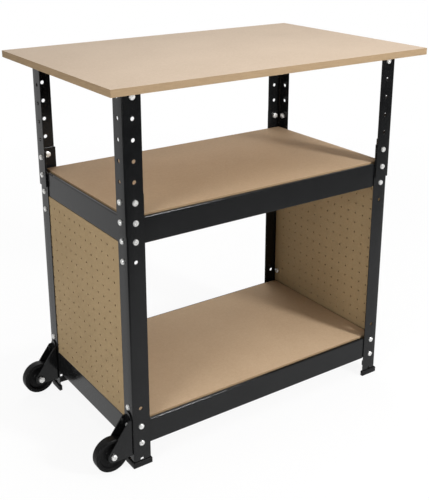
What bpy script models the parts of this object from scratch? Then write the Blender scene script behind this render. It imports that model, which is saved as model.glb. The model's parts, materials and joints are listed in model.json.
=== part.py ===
"""Three-tier workshop trolley: bolted angle-steel frame, three fibreboard decks, two perforated side panels
and two fixed wheels at its left end. Metres, +Z up, X along the long side, Y from front to back.
The origin lies on the floor, under the middle of the whole trolley."""

import math

import bmesh
import bpy

# Overall frame, measured over the outer faces of the lower legs
FRAME_LENGTH = 0.700
FRAME_DEPTH = 0.408
TOP_HEIGHT = 0.831

# Fit between painted pieces that touch
FIT = 0.0003

# Folded steel angle of the legs
LEG_FRONT_FLANGE = 0.040
LEG_SIDE_FLANGE = 0.037
LEG_SHEET = 0.002
LEG_OUTER_BEND = 0.0035
LEG_INNER_BEND = 0.0015
LOWER_LEG_TOP = 0.608
UPPER_LEG_BOTTOM = 0.526

# Bolt holes along the legs, counted from the middle deck and from the bottom deck
HOLE_DIAMETER = 0.0085
HOLE_INSET = 0.019
HOLE_PITCH = 0.0415
BEAM_BOLT_PITCH = 0.040
PANEL_BOLT_PITCH = 0.043
TOP_HOLE_MARGIN = 0.012
HOLE_SIDES = 6

# Step beams: outer web, cap folded inwards, lip down, ledge for the deck and a stiffening return below
BEAM_HEIGHT = 0.056
BEAM_SHEET = 0.0015
BEAM_CAP = 0.008
BEAM_STEP = 0.009
BEAM_LEDGE = 0.018
BEAM_RETURN = 0.012
BEAM_BEND = 0.0022
BEAM_TAB_INSET = 0.0025
BEAM_COPE = 0.002
MID_BEAM_BOTTOM = 0.504
BOTTOM_BEAM_BOTTOM = 0.0485

# Fibreboard decks
TOP_THICKNESS = 0.015
TOP_OVERHANG_SIDE = 0.050
TOP_OVERHANG_FRONT = 0.051
SHELF_THICKNESS = 0.012
SHELF_EDGE_GAP = 0.0008

# Perforated side panels
PANEL_THICKNESS = 0.0048
PANEL_EDGE_GAP = 0.004
PEG_PITCH = 0.0254
PEG_DIAMETER = 0.0045
PEG_SIDE_MARGIN = 0.022
PEG_END_MARGIN = 0.015
PEG_SIDES = 3

# Corner brackets that hold the top board
TOP_BRACKET_SHEET = 0.002
TOP_BRACKET_WIDTH = 0.026
TOP_BRACKET_EDGE = 0.015
TOP_BRACKET_REACH = 0.030
TOP_BRACKET_BEND = 0.0015
SCREW_HOLE_DIAMETER = 0.005

# Moulded caps on the leg ends
FOOT_WALL = 0.0025
FOOT_HEIGHT = 0.013
FOOT_FLOOR = 0.003

# Wheel brackets: a folded channel with two tapering cheeks
BRACKET_SHEET = 0.0025
BRACKET_WIDTH = 0.030
BRACKET_BEND = 0.002
BRACKET_SIDE_INSET = 0.003
CHEEK_NOSE_RADIUS = 0.013
CHEEK_TOP = 0.116
CHEEK_TOP_REACH = 0.0075
PLATE_TOP = 0.129

# Wheels and their axles
WHEEL_RADIUS = 0.0375
WHEEL_WIDTH = 0.021
AXLE_REACH = 0.046
AXLE_HEIGHT = 0.0445
AXLE_DIAMETER = 0.008
AXLE_HEAD_DIAMETER = 0.0135
AXLE_HEAD_HEIGHT = 0.0045
AXLE_TAIL = 0.0025
AXLE_SIDES = 10
SLEEVE_WALL = 0.002
HUB_RADIUS = 0.0125
HUB_SIDE_GAP = 0.001
WEB_THICKNESS = 0.007
RIM_THICKNESS = 0.0085
RIM_TAPER = 0.002
TREAD_ROUNDING = 0.0035
WHEEL_SIDES = 16
NUT_ACROSS_FLATS = 0.013
NUT_THICKNESS = 0.0065

# Steps in the round outlines
BEND_STEPS = 2
LEG_BEND_STEPS = 3
NOSE_STEPS = 6
CROWN_STEPS = 8
TREAD_STEPS = 2

# Places that follow from the sizes
NEST = LEG_SHEET + FIT
UNDER_TOP = TOP_HEIGHT - TOP_THICKNESS
LEFT_REACH = max(AXLE_REACH + WHEEL_RADIUS, TOP_OVERHANG_SIDE)
LEFT_FACE = -(LEFT_REACH + FRAME_LENGTH + TOP_OVERHANG_SIDE) / 2 + LEFT_REACH
RIGHT_FACE = LEFT_FACE + FRAME_LENGTH
FRONT_FACE = -FRAME_DEPTH / 2
BACK_FACE = FRAME_DEPTH / 2
BEAM_BOLT_EDGE = (BEAM_HEIGHT - BEAM_BOLT_PITCH) / 2
CORNERS = {
    "front_left": (LEFT_FACE, FRONT_FACE, 1, 1),
    "front_right": (RIGHT_FACE, FRONT_FACE, -1, 1),
    "back_left": (LEFT_FACE, BACK_FACE, 1, -1),
    "back_right": (RIGHT_FACE, BACK_FACE, -1, -1),
}

for old in list(bpy.data.objects):
    bpy.data.objects.remove(old, do_unlink=True)


def finish_material(name, colour, roughness, metallic=0.0):
    """A Principled BSDF finish of one colour."""
    made = bpy.data.materials.new(name)
    made.use_nodes = True
    shader = made.node_tree.nodes["Principled BSDF"]
    shader.inputs["Base Color"].default_value = (*colour, 1.0)
    shader.inputs["Roughness"].default_value = roughness
    shader.inputs["Metallic"].default_value = metallic
    return made


BLACK_COAT = finish_material("black_powder_coat", (0.022, 0.023, 0.024), 0.42)
FIBREBOARD = finish_material("fibreboard", (0.50, 0.36, 0.22), 0.75)
PEG_BOARD = finish_material("perforated_hardboard", (0.36, 0.25, 0.14), 0.70)
BLACK_PLASTIC = finish_material("black_plastic", (0.018, 0.018, 0.019), 0.50)
ZINC = finish_material("zinc_plate", (0.72, 0.72, 0.70), 0.32, 1.0)


def place(name, bm, material, location=(0, 0, 0), turn=0.0):
    """Turns a bmesh into a named object standing at a place, turned about Z."""
    bmesh.ops.recalc_face_normals(bm, faces=bm.faces)
    mesh = bpy.data.meshes.new(name)
    bm.to_mesh(mesh)
    bm.free()
    mesh.materials.append(material)
    mesh.shade_smooth()
    mesh.set_sharp_from_angle(angle=math.radians(30))
    made = bpy.data.objects.new(name, mesh)
    made.location = location
    made.rotation_euler.z = turn
    bpy.context.scene.collection.objects.link(made)
    return made


def use_tool(target, bm, operation="DIFFERENCE"):
    """Shapes an object with a hidden tool solid that stands at the same place."""
    tool = place(target.name + ".tool", bm, BLACK_PLASTIC, target.location, target.rotation_euler.z)
    tool.hide_render = True
    tool.display_type = "WIRE"
    shaping = target.modifiers.new(operation.lower(), "BOOLEAN")
    shaping.operation = operation
    shaping.solver = "EXACT"
    shaping.object = tool


def mirrored(bm, flip_x, flip_y):
    """Turns a front-left shape into that of another corner."""
    bmesh.ops.scale(bm, vec=(flip_x, flip_y, 1), verts=bm.verts)
    return bm


def prism(points, start, end, axis="z", into=None):
    """Adds a closed outline, drawn in the two other axes, drawn out from start to end along an axis."""
    bm = into or bmesh.new()
    order = {"x": lambda a, b, c: (c, a, b), "y": lambda a, b, c: (a, c, b), "z": lambda a, b, c: (a, b, c)}
    spot = order[axis]
    face = bm.faces.new([bm.verts.new(spot(a, b, start)) for a, b in points])
    drawn = bmesh.ops.extrude_face_region(bm, geom=[face])
    moved = [v for v in drawn["geom"] if isinstance(v, bmesh.types.BMVert)]
    bmesh.ops.translate(bm, vec=spot(0, 0, end - start), verts=moved)
    return bm


def block(low, high, into=None):
    """Adds a box between two corners."""
    outline = [(low[0], low[1]), (high[0], low[1]), (high[0], high[1]), (low[0], high[1])]
    return prism(outline, low[2], high[2], "z", into)


def ring(radius, sides, centre=(0, 0), turn=0.5):
    """The corners of a regular outline, turned by a share of one side."""
    return [
        (
            centre[0] + radius * math.cos(2 * math.pi * (i + turn) / sides),
            centre[1] + radius * math.sin(2 * math.pi * (i + turn) / sides),
        )
        for i in range(sides)
    ]


def turned(profile, sides):
    """A profile of (radius, along) points turned about Y: a closed loop, or a line from axis to axis."""
    bm = bmesh.new()
    verts = [bm.verts.new((radius, along, 0)) for radius, along in profile]
    first = 1 if profile[0][0] == 0 else 0
    edges = [bm.edges.new((verts[i - 1], verts[i])) for i in range(first, len(verts))]
    bmesh.ops.spin(
        bm,
        geom=verts + edges,
        axis=(0, 1, 0),
        cent=(0, 0, 0),
        angle=2 * math.pi,
        steps=sides,
        use_merge=True,
    )
    bmesh.ops.remove_doubles(bm, verts=bm.verts, dist=1e-6)
    return bm


def long_edges_at(bm, axis, spots):
    """The edges that run along an axis through given places in the other two axes."""
    others = [i for i in range(3) if i != axis]
    found = []
    for edge in bm.edges:
        a, b = (v.co for v in edge.verts)
        runs = abs(a[axis] - b[axis]) > 1e-6 and all(abs(a[i] - b[i]) < 1e-7 for i in others)
        if runs and any(all(abs(a[i] - s) < 1e-6 for i, s in zip(others, spot)) for spot in spots):
            found.append(edge)
    return found


def round_edges(bm, edges, radius, segments):
    """Rounds edges to a radius."""
    bmesh.ops.bevel(
        bm,
        geom=edges,
        offset=radius,
        offset_type="OFFSET",
        affect="EDGES",
        segments=segments,
        profile=0.5,
        material=-1,
    )


def angle_outline(front, side, sheet, grow=0.0):
    """Plan of an angle whose outer corner is at the origin, grown all round."""
    return [
        (-grow, -grow),
        (front + grow, -grow),
        (front + grow, sheet + grow),
        (sheet + grow, sheet + grow),
        (sheet + grow, side + grow),
        (-grow, side + grow),
    ]


# Heights of the bolt holes
def beam_bolt_heights(beam_bottom):
    """Lower and upper bolt of a beam's end."""
    lower = beam_bottom + BEAM_BOLT_EDGE
    return [lower, lower + BEAM_BOLT_PITCH]


MID_LOW, MID_HIGH = beam_bolt_heights(MID_BEAM_BOTTOM)
BOTTOM_LOW, BOTTOM_HIGH = beam_bolt_heights(BOTTOM_BEAM_BOTTOM)
UPPER_HOLE_STEPS = int((UNDER_TOP - TOP_HOLE_MARGIN - MID_HIGH) / HOLE_PITCH)
UPPER_LEG_HOLES = [MID_HIGH + HOLE_PITCH * i for i in range(UPPER_HOLE_STEPS + 1)]
PANEL_HIGH = MID_LOW - PANEL_BOLT_PITCH
PANEL_LOW = BOTTOM_HIGH + PANEL_BOLT_PITCH
FOOT_HOLE = BOTTOM_LOW - BEAM_BOLT_PITCH
LOWER_LEG_HOLES = [
    FOOT_HOLE,
    BOTTOM_LOW,
    BOTTOM_HIGH,
    PANEL_LOW,
    PANEL_HIGH,
    MID_LOW,
    MID_HIGH,
    MID_HIGH + HOLE_PITCH,
]
TOP_BOLT_HEIGHT = UPPER_LEG_HOLES[-1]


# Legs: an upper angle outside a lower one, with bolt holes down both flanges
def angle_leg(name, corner, outset, bottom, top, hole_heights):
    """One folded angle with its outer corner set out from the lower leg's corner."""
    x, y, flip_x, flip_y = CORNERS[corner]
    bm = prism(angle_outline(LEG_FRONT_FLANGE, LEG_SIDE_FLANGE, LEG_SHEET), bottom, top)
    round_edges(bm, long_edges_at(bm, 2, [(0, 0)]), LEG_OUTER_BEND, LEG_BEND_STEPS)
    round_edges(bm, long_edges_at(bm, 2, [(LEG_SHEET, LEG_SHEET)]), LEG_INNER_BEND, BEND_STEPS)
    spot = (x - flip_x * outset, y - flip_y * outset, 0)
    leg = place(name, mirrored(bm, flip_x, flip_y), BLACK_COAT, spot)
    holes = bmesh.new()
    inset = HOLE_INSET + outset
    for height in hole_heights:
        outline = ring(HOLE_DIAMETER / 2, HOLE_SIDES, (inset, height))
        prism(outline, -LEG_SHEET, 2 * LEG_SHEET, "y", holes)
        prism(outline, -LEG_SHEET, 2 * LEG_SHEET, "x", holes)
    use_tool(leg, mirrored(holes, flip_x, flip_y))


for corner in CORNERS:
    angle_leg("lower_leg_" + corner, corner, 0.0, FOOT_FLOOR + FIT, LOWER_LEG_TOP, LOWER_LEG_HOLES)
    angle_leg("upper_leg_" + corner, corner, NEST, UPPER_LEG_BOTTOM, UNDER_TOP - FIT, UPPER_LEG_HOLES)


# Foot caps: moulded sleeves pushed over the lower ends of the legs
for corner, (x, y, flip_x, flip_y) in CORNERS.items():
    sizes = (LEG_FRONT_FLANGE, LEG_SIDE_FLANGE, LEG_SHEET)
    bm = prism(angle_outline(*sizes, FIT + FOOT_WALL), 0, FOOT_HEIGHT)
    cap = place("foot_cap_" + corner, mirrored(bm, flip_x, flip_y), BLACK_PLASTIC, (x, y, 0))
    pocket = prism(angle_outline(*sizes, FIT), FOOT_FLOOR, 2 * FOOT_HEIGHT)
    round_edges(pocket, long_edges_at(pocket, 2, [(NEST, NEST)]), LEG_INNER_BEND, BEND_STEPS)
    use_tool(cap, mirrored(pocket, flip_x, flip_y))


# Step beams: the web is bolted inside the leg flanges, the rest is cut back between the legs
def step_beam(name, length, leg_flange, end_gap, bottom, spot, turn):
    """One beam along X with its outer face at Y 0, turned and moved to its side of the frame."""
    cut_back = leg_flange - end_gap + BEAM_COPE
    inner = BEAM_CAP - BEAM_SHEET
    step = BEAM_HEIGHT - BEAM_STEP
    bm = bmesh.new()
    known = {}

    def corner_at(y, z):
        key = (round(y, 7), round(z, 7))
        if key not in known:
            known[key] = bm.verts.new((cut_back, y, z))
        return known[key]

    def panel(y0, y1, z0, z1):
        return bm.faces.new([corner_at(y0, z0), corner_at(y1, z0), corner_at(y1, z1), corner_at(y0, z1)])

    under_cap = BEAM_HEIGHT - BEAM_SHEET
    under_ledge = step - BEAM_SHEET
    tab_top = BEAM_HEIGHT - BEAM_TAB_INSET
    web = [panel(0, BEAM_SHEET, BEAM_TAB_INSET, tab_top)]
    folds = [
        panel(0, BEAM_SHEET, 0, BEAM_SHEET),
        panel(0, BEAM_SHEET, BEAM_SHEET, BEAM_TAB_INSET),
        panel(0, BEAM_SHEET, tab_top, under_cap),
        panel(0, BEAM_SHEET, under_cap, BEAM_HEIGHT),
        panel(BEAM_SHEET, BEAM_RETURN, 0, BEAM_SHEET),
        panel(BEAM_SHEET, inner, under_cap, BEAM_HEIGHT),
        panel(inner, BEAM_CAP, under_cap, BEAM_HEIGHT),
        panel(inner, BEAM_CAP, step, under_cap),
        panel(inner, BEAM_CAP, under_ledge, step),
        panel(BEAM_CAP, BEAM_CAP + BEAM_LEDGE, under_ledge, step),
    ]
    drawn = bmesh.ops.extrude_face_region(bm, geom=web + folds, use_keep_orig=True)
    far = [g for g in drawn["geom"] if isinstance(g, bmesh.types.BMVert)]
    bmesh.ops.translate(bm, vec=(length - 2 * cut_back, 0, 0), verts=far)
    far_faces = [g for g in drawn["geom"] if isinstance(g, bmesh.types.BMFace)]
    far_web = [max(far_faces, key=lambda face: face.calc_area())]
    for end, reach in ((web, -cut_back), (far_web, cut_back)):
        tab = bmesh.ops.extrude_face_region(bm, geom=end)
        bmesh.ops.translate(
            bm,
            vec=(reach, 0, 0),
            verts=[g for g in tab["geom"] if isinstance(g, bmesh.types.BMVert)],
        )
        bmesh.ops.delete(bm, geom=[f for f in end if f.is_valid], context="FACES_ONLY")
    bends = [(0, 0), (0, BEAM_HEIGHT), (BEAM_CAP, BEAM_HEIGHT)]
    round_edges(bm, long_edges_at(bm, 0, bends), BEAM_BEND, BEND_STEPS)
    beam = place(name, bm, BLACK_COAT, spot, turn)
    holes = bmesh.new()
    for along in (HOLE_INSET - end_gap, length - HOLE_INSET + end_gap):
        for height in beam_bolt_heights(bottom):
            outline = ring(HOLE_DIAMETER / 2, HOLE_SIDES, (along, height - bottom))
            prism(outline, -BEAM_SHEET, 2 * BEAM_SHEET, "y", holes)
    use_tool(beam, holes)


SIDE_BEAM_GAP = LEG_SHEET + LEG_INNER_BEND + FIT
FRONT_BEAM_GAP = NEST + BEAM_SHEET + FIT
FRONT_BEAM_LENGTH = FRAME_LENGTH - 2 * FRONT_BEAM_GAP
SIDE_BEAM_LENGTH = FRAME_DEPTH - 2 * SIDE_BEAM_GAP
for tier, bottom in (("mid", MID_BEAM_BOTTOM), ("bottom", BOTTOM_BEAM_BOTTOM)):
    long_beam = (FRONT_BEAM_LENGTH, LEG_FRONT_FLANGE, FRONT_BEAM_GAP, bottom)
    short_beam = (SIDE_BEAM_LENGTH, LEG_SIDE_FLANGE, SIDE_BEAM_GAP, bottom)
    front = (LEFT_FACE + FRONT_BEAM_GAP, FRONT_FACE + NEST, bottom)
    back = (RIGHT_FACE - FRONT_BEAM_GAP, BACK_FACE - NEST, bottom)
    left = (LEFT_FACE + NEST, BACK_FACE - SIDE_BEAM_GAP, bottom)
    right = (RIGHT_FACE - NEST, FRONT_FACE + SIDE_BEAM_GAP, bottom)
    step_beam(tier + "_beam_front", *long_beam, front, 0)
    step_beam(tier + "_beam_back", *long_beam, back, math.pi)
    step_beam(tier + "_beam_left", *short_beam, left, -math.pi / 2)
    step_beam(tier + "_beam_right", *short_beam, right, math.pi / 2)


# Decks: the top board stands on the legs, the shelf boards drop onto the beams' ledges
def deck(name, half_length, half_depth, centre_x, bottom, thickness):
    """A plain sawn board."""
    bm = block((-half_length, -half_depth, 0), (half_length, half_depth, thickness))
    return place(name, bm, FIBREBOARD, (centre_x, 0, bottom))


FRAME_CENTRE = (LEFT_FACE + RIGHT_FACE) / 2
deck(
    "top_board",
    FRAME_LENGTH / 2 + TOP_OVERHANG_SIDE,
    FRAME_DEPTH / 2 + TOP_OVERHANG_FRONT,
    FRAME_CENTRE,
    UNDER_TOP,
    TOP_THICKNESS,
)
SHELF_EDGE = NEST + BEAM_CAP + SHELF_EDGE_GAP
for tier, bottom in (("mid", MID_BEAM_BOTTOM), ("bottom", BOTTOM_BEAM_BOTTOM)):
    deck(
        tier + "_shelf_board",
        FRAME_LENGTH / 2 - SHELF_EDGE,
        FRAME_DEPTH / 2 - SHELF_EDGE,
        FRAME_CENTRE,
        bottom + BEAM_HEIGHT - BEAM_STEP + FIT,
        SHELF_THICKNESS,
    )


# Side panels: hardboard bolted inside the side flanges between the side beams, punched with peg holes
def spread(span, margin):
    """Places of holes at the peg pitch over a span that is centred on zero."""
    steps = int((span - 2 * margin) / PEG_PITCH)
    return [PEG_PITCH * (i - steps / 2) for i in range(steps + 1)]


PANEL_BOTTOM = BOTTOM_BEAM_BOTTOM + BEAM_HEIGHT + FIT
PANEL_HEIGHT = MID_BEAM_BOTTOM - FIT - PANEL_BOTTOM
PANEL_DEPTH = FRAME_DEPTH - 2 * (LEG_SHEET + PANEL_EDGE_GAP)
for side, face, inwards in (("left", LEFT_FACE, 1), ("right", RIGHT_FACE, -1)):
    outer = min(0, inwards * PANEL_THICKNESS)
    bm = block(
        (outer, -PANEL_DEPTH / 2, -PANEL_HEIGHT / 2),
        (outer + PANEL_THICKNESS, PANEL_DEPTH / 2, PANEL_HEIGHT / 2),
    )
    spot = (face + inwards * NEST, 0, PANEL_BOTTOM + PANEL_HEIGHT / 2)
    panel_board = place("pegboard_" + side, bm, PEG_BOARD, spot)
    holes = bmesh.new()
    reach = 2 * PANEL_THICKNESS
    for bolt_height in (PANEL_LOW, PANEL_HIGH):
        for end in (-1, 1):
            bolt = (end * (FRAME_DEPTH / 2 - HOLE_INSET), bolt_height - spot[2])
            prism(ring(HOLE_DIAMETER / 2, HOLE_SIDES, bolt), -reach, reach, "x", holes)
    for peg_y in spread(PANEL_DEPTH, PEG_SIDE_MARGIN):
        for peg_z in spread(PANEL_HEIGHT, PEG_END_MARGIN):
            prism(ring(PEG_DIAMETER / 2, PEG_SIDES, (peg_y, peg_z)), -reach, reach, "x", holes)
    use_tool(panel_board, holes)


# Top brackets: small angles bolted inside the upper legs and screwed up into the top board
for corner, (x, y, flip_x, flip_y) in CORNERS.items():
    reach, sheet = TOP_BRACKET_REACH, TOP_BRACKET_SHEET
    high = UNDER_TOP - FIT
    low = TOP_BOLT_HEIGHT - TOP_BRACKET_EDGE
    under = high - sheet
    outline = [(0, low), (sheet, low), (sheet, under), (reach, under), (reach, high), (0, high)]
    start = HOLE_INSET - TOP_BRACKET_WIDTH / 2
    bm = prism(outline, start, start + TOP_BRACKET_WIDTH, "x")
    round_edges(bm, long_edges_at(bm, 0, [(0, high)]), TOP_BRACKET_BEND, BEND_STEPS)
    spot = (x, y + flip_y * (LEG_SHEET + FIT - NEST), 0)
    bracket = place("top_bracket_" + corner, mirrored(bm, flip_x, flip_y), BLACK_COAT, spot)
    holes = bmesh.new()
    bolt = ring(HOLE_DIAMETER / 2, HOLE_SIDES, (HOLE_INSET, TOP_BOLT_HEIGHT))
    prism(bolt, -sheet, 2 * sheet, "y", holes)
    screw = ring(SCREW_HOLE_DIAMETER / 2, HOLE_SIDES, (HOLE_INSET, (sheet + reach) / 2))
    prism(screw, high - 2 * sheet, high + sheet, "z", holes)
    use_tool(bracket, mirrored(holes, flip_x, flip_y))


# Wheel brackets: drawn as a channel about the axle's middle, then trimmed to the cheeks' outline
def wheel_bracket(name, spot, inwards):
    """A folded channel against the leg, its cheeks tapering out to the axle."""
    half = BRACKET_WIDTH / 2
    wall = AXLE_REACH - FIT
    inner = wall - BRACKET_SHEET
    nose = CHEEK_NOSE_RADIUS
    mouth = -nose - BRACKET_SHEET
    channel = [
        (wall, -half),
        (mouth, -half),
        (mouth, BRACKET_SHEET - half),
        (inner, BRACKET_SHEET - half),
        (inner, half - BRACKET_SHEET),
        (mouth, half - BRACKET_SHEET),
        (mouth, half),
        (wall, half),
    ]
    plate_high = PLATE_TOP - AXLE_HEIGHT
    cheek_high = CHEEK_TOP - AXLE_HEIGHT
    bm = prism(channel, -2 * nose, plate_high + nose)
    round_edges(bm, long_edges_at(bm, 2, [(wall, -half), (wall, half)]), BRACKET_BEND, BEND_STEPS)
    bracket = place(name, bm, BLACK_COAT, spot)

    # Cheek outline: round nose about the axle, straight front edge up to the tip, plate behind
    tip = (wall - CHEEK_TOP_REACH, cheek_high)
    tangent = math.atan2(tip[1], tip[0]) + math.acos(nose / math.hypot(*tip))
    sweep = (1.5 * math.pi - tangent) / NOSE_STEPS
    outline = [
        (nose * math.cos(tangent + sweep * i), nose * math.sin(tangent + sweep * i))
        for i in range(NOSE_STEPS + 1)
    ]
    behind = inner - BRACKET_BEND
    beyond = wall + nose
    above = plate_high + 2 * nose
    outline += [(beyond, -nose), (beyond, above), (behind, above), (behind, cheek_high), tip]
    use_tool(bracket, prism(outline, -BRACKET_WIDTH, BRACKET_WIDTH, "y"), "INTERSECT")

    # Plate outline: a round crown above the cheeks
    crown = half - BRACKET_SHEET
    shoulder = plate_high - crown
    plate = [(-BRACKET_WIDTH, -2 * nose), (-BRACKET_WIDTH, shoulder)]
    for i in range(CROWN_STEPS + 1):
        angle = math.pi * (1 - i / CROWN_STEPS)
        plate.append((crown * math.cos(angle), shoulder + crown * math.sin(angle)))
    plate += [(BRACKET_WIDTH, shoulder), (BRACKET_WIDTH, -2 * nose)]
    use_tool(bracket, prism(plate, mouth - nose, beyond, "x"), "INTERSECT")

    holes = prism(ring(AXLE_DIAMETER / 2 + FIT, AXLE_SIDES), -BRACKET_WIDTH, BRACKET_WIDTH, "y")
    for height in (BOTTOM_LOW, BOTTOM_HIGH):
        bolt = (inwards * (HOLE_INSET - BRACKET_MIDDLE), height - AXLE_HEIGHT)
        prism(ring(HOLE_DIAMETER / 2, HOLE_SIDES, bolt), inner - nose, beyond, "x", holes)
    use_tool(bracket, holes)


# Wheels: moulded in one piece, turning on a sleeve between the cheeks
def wheel_profile():
    """Half section of the wheel: hub, web, rim and rounded tread."""
    bore = SLEEVE_RADIUS + FIT
    hub = BETWEEN_CHEEKS / 2 - HUB_SIDE_GAP
    web = WEB_THICKNESS / 2
    rim = WHEEL_WIDTH / 2
    rim_foot = WHEEL_RADIUS - RIM_THICKNESS
    near = [(bore, hub), (HUB_RADIUS, hub), (HUB_RADIUS + RIM_TAPER, web), (rim_foot - RIM_TAPER, web)]
    near.append((rim_foot, rim))
    for i in range(TREAD_STEPS + 1):
        angle = math.pi / 2 * (1 - i / TREAD_STEPS)
        near.append(
            (
                WHEEL_RADIUS - TREAD_ROUNDING + TREAD_ROUNDING * math.cos(angle),
                rim - TREAD_ROUNDING + TREAD_ROUNDING * math.sin(angle),
            )
        )
    return near + [(radius, -along) for radius, along in reversed(near)]


BETWEEN_CHEEKS = BRACKET_WIDTH - 2 * BRACKET_SHEET
BRACKET_MIDDLE = BRACKET_SIDE_INSET + BRACKET_WIDTH / 2
SLEEVE_RADIUS = AXLE_DIAMETER / 2 + FIT + SLEEVE_WALL
for end, y, inwards in (("front", FRONT_FACE, 1), ("rear", BACK_FACE, -1)):
    axle = (LEFT_FACE - AXLE_REACH, y + inwards * BRACKET_MIDDLE, AXLE_HEIGHT)
    wheel_bracket("wheel_bracket_" + end, axle, inwards)
    place("wheel_" + end, turned(wheel_profile(), WHEEL_SIDES), BLACK_PLASTIC, axle)

    # The sleeve is held between the cheeks by the axle bolt
    bolt_radius = AXLE_DIAMETER / 2
    half_sleeve = BETWEEN_CHEEKS / 2 - FIT
    bore = bolt_radius + FIT
    tube = [
        (bore, half_sleeve),
        (SLEEVE_RADIUS, half_sleeve),
        (SLEEVE_RADIUS, -half_sleeve),
        (bore, -half_sleeve),
    ]
    place("axle_sleeve_" + end, turned(tube, AXLE_SIDES), ZINC, axle)

    # Bolt head on the outer cheek, nut on the inner one
    seat = BRACKET_WIDTH / 2 + FIT
    head = AXLE_HEAD_DIAMETER / 2
    tail = seat + NUT_THICKNESS + AXLE_TAIL
    bolt = [
        (0, -seat - AXLE_HEAD_HEIGHT),
        (head - AXLE_HEAD_HEIGHT / 2, -seat - AXLE_HEAD_HEIGHT),
        (head, -seat - AXLE_HEAD_HEIGHT / 2),
        (head, -seat),
        (bolt_radius, -seat),
        (bolt_radius, tail),
        (0, tail),
    ]
    place("axle_bolt_" + end, mirrored(turned(bolt, AXLE_SIDES), 1, inwards), ZINC, axle)
    hexagon = ring(NUT_ACROSS_FLATS / 2 / math.cos(math.pi / 6), 6)
    body = prism(hexagon, seat, seat + NUT_THICKNESS, "y")
    nut = place("axle_nut_" + end, mirrored(body, 1, inwards), ZINC, axle)
    thread = prism(ring(bolt_radius + FIT, AXLE_SIDES, turn=0), 0, tail + NUT_THICKNESS, "y")
    use_tool(nut, mirrored(thread, 1, inwards))
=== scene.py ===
"""Looks of the three-tier workshop trolley: black powder-coated steel, raw fibreboard, perforated
hardboard, zinc bolts and moulded plastic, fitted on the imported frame. Metres, +Z up, wheels at -X."""

import json
import math

import bmesh
import bpy
from mathutils import Matrix, Vector


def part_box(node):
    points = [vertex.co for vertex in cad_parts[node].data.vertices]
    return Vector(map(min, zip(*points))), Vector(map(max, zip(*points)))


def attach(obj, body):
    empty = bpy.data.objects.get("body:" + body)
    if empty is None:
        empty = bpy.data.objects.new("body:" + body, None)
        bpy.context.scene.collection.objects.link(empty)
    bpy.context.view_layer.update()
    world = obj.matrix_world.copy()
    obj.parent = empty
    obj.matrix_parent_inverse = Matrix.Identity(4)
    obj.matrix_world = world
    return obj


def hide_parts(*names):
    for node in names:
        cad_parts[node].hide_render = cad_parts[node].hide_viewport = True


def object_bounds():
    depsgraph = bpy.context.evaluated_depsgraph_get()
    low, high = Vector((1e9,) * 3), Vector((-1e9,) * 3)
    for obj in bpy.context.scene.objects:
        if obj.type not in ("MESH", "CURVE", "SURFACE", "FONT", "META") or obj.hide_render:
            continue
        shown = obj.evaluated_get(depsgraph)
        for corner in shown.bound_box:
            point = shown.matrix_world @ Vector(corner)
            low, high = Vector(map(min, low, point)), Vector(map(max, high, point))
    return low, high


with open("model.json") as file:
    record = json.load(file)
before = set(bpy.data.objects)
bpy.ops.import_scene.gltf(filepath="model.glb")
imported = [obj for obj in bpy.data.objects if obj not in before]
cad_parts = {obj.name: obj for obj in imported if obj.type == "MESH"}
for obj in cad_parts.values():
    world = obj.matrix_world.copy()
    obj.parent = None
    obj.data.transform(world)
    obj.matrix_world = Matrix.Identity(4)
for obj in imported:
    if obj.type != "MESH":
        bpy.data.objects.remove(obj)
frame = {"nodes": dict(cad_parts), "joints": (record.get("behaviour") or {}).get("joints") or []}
cad_low, cad_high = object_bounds()


# The camera stands off the front left corner, a little above the top board, and looks down on it.
# A small shift of the lens keeps the legs nearly upright, as in the photograph.
camera_data = bpy.data.cameras.new("camera")
camera = bpy.data.objects.new("camera", camera_data)
bpy.context.scene.collection.objects.link(camera)
bpy.context.scene.camera = camera
camera.location = (-1.06, -1.56, 1.14)
camera_turn = math.radians(-34.5)
camera_dip = math.radians(18.0)
camera.rotation_euler = (math.pi / 2 - camera_dip, 0, camera_turn)
image_height = 500
focal_pixels = 852
camera_data.lens = focal_pixels / image_height * camera_data.sensor_width
camera_data.shift_y = -0.14


# The room is a white sweep: a pale floor that keeps a faint shadow, and white all round. The key light
# stands at the front right and fills the open bay; softer boxes hang overhead, at the left and high behind.
# What shines sees a bright far side and a dim side near the camera, so left faces shine more than fronts.
bpy.context.scene.view_settings.view_transform = "Standard"
world = bpy.data.worlds.new("white_room")
bpy.context.scene.world = world
world.use_nodes = True


class Shade:
    """A socket of a node tree that can stand in sums and products, so a finish reads as arithmetic."""

    def __init__(self, tree, socket=None):
        self.tree = tree
        self.socket = socket

    def node(self, kind, settings=None, inputs=None, output=0):
        """Adds a node: its settings first, then its sockets' values or links."""
        made = self.tree.nodes.new(kind)
        for name, value in (settings or {}).items():
            setattr(made, name, value)
        for name, value in (inputs or {}).items():
            if isinstance(value, Shade):
                self.tree.links.new(value.socket, made.inputs[name])
            else:
                made.inputs[name].default_value = value
        return Shade(self.tree, made.outputs[output])

    def math(self, operation, first, second):
        return self.node("ShaderNodeMath", {"operation": operation}, {0: first, 1: second})

    def __add__(self, other):
        return self.math("ADD", self, other)

    def __sub__(self, other):
        return self.math("SUBTRACT", self, other)

    def __rsub__(self, other):
        return self.math("SUBTRACT", other, self)

    def __mul__(self, other):
        return self.math("MULTIPLY", self, other)

    def __gt__(self, other):
        return self.math("GREATER_THAN", self, other)

    __radd__ = __add__
    __rmul__ = __mul__


room = Shade(world.node_tree)
AMBIENT_STRENGTH = 0.33
TO_BRIGHT_SIDE = (0.67, 0.745, 0)
WALL_MIDDLE = 0.36
WALL_SLOPE = 0.9
MIX_FIRST = 6
MIX_SECOND = 7
MIX_COLOUR = 2


def reach(shade, place, direction):
    """How far a place lies along a direction."""
    inputs = {0: place, 1: direction}
    return shade.node("ShaderNodeVectorMath", {"operation": "DOT_PRODUCT"}, inputs, "Value")


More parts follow.
